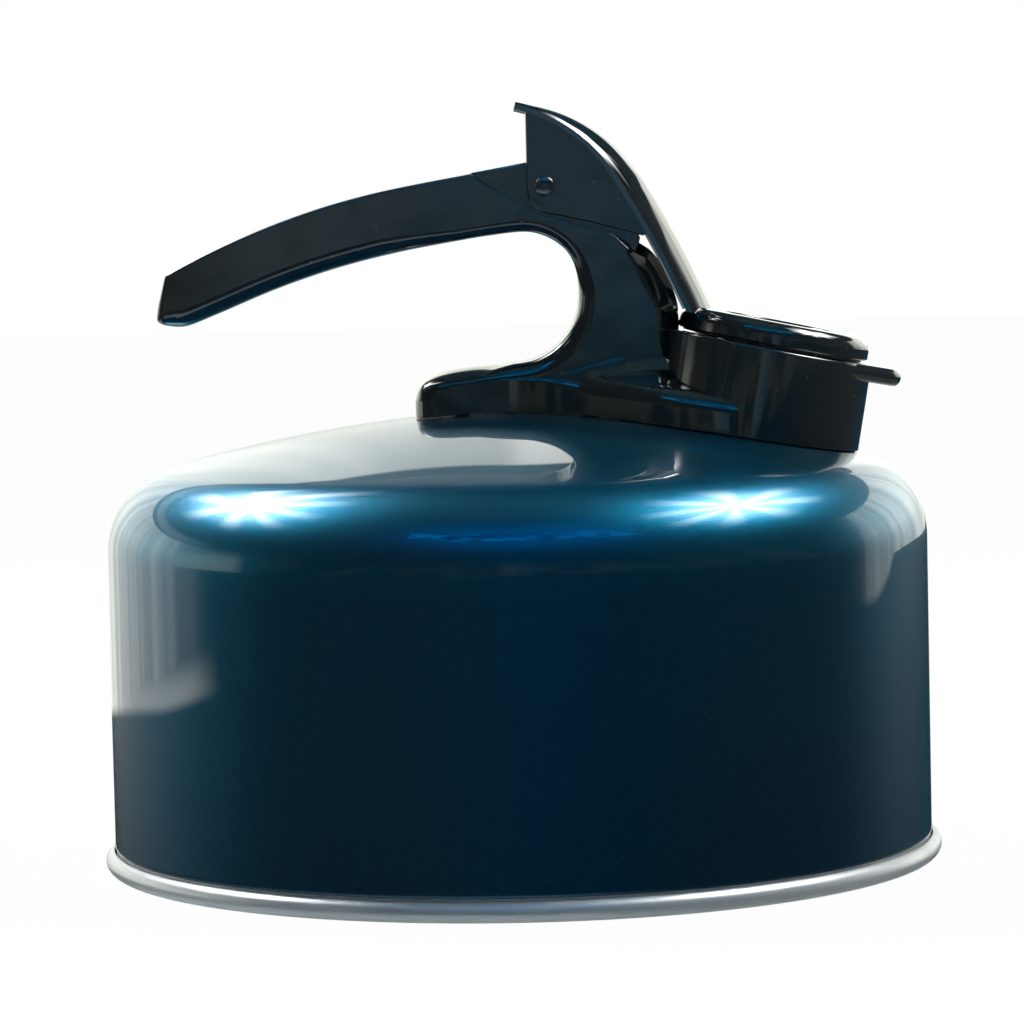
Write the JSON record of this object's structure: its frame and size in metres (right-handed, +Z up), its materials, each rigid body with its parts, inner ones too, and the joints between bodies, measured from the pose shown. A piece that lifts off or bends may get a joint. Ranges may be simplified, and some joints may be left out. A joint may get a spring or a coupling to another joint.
{
  "type": "camping_kettle",
  "caption": "Whistling camping kettle with a blue lacquered body, rolled bright rim, black moulded handle and spout, and a thumb lever that lifts the whistle lid",
  "frame": {"origin": "middle of the base on the standing plane", "axes": "X towards the spout's pouring side, Y across the handle, Z up"},
  "size_m": [0.2, 0.2, 0.1809],
  "materials": {
    "blue_lacquer": "glossy metallic lacquer",
    "aluminium": "satin",
    "black_plastic": "glossy",
    "steel": "bright",
    "silicone": "matte",
    "brass": "plain"
  },
  "bodies": {
    "kettle": {"body_shell": "blue_lacquer", "base_pan": "aluminium", "seam_seal": "silicone", "handle_and_spout": "black_plastic", "handle_screw_rear": "steel", "handle_screw_front": "steel", "screw_washer_rear": "steel", "screw_washer_front": "steel", "screw_seal_rear": "silicone", "screw_seal_front": "silicone", "screw_insert_rear": "brass", "screw_insert_front": "brass", "spout_gasket": "silicone", "spout_lock_ring": "aluminium", "hinge_pin": "steel", "pin_retainer": "steel", "lever_spring": "steel"},
    "lever": {"lid_lever": "black_plastic", "lid_seal": "silicone", "whistle_cap": "steel", "whistle_cup": "steel", "whistle_clip": "steel"}
  },
  "joints": [
    {"name": "lid_hinge", "type": "hinge", "parent": "kettle", "child": "lever", "pos_m": [0.0084, 0, 0.16016], "axis": [0, -1, 0], "range_deg": [0, 50], "stiffness_Nm_per_rad": 0.08, "springref_deg": -21.49, "deforming": ["lever_spring"]}
  ]
}
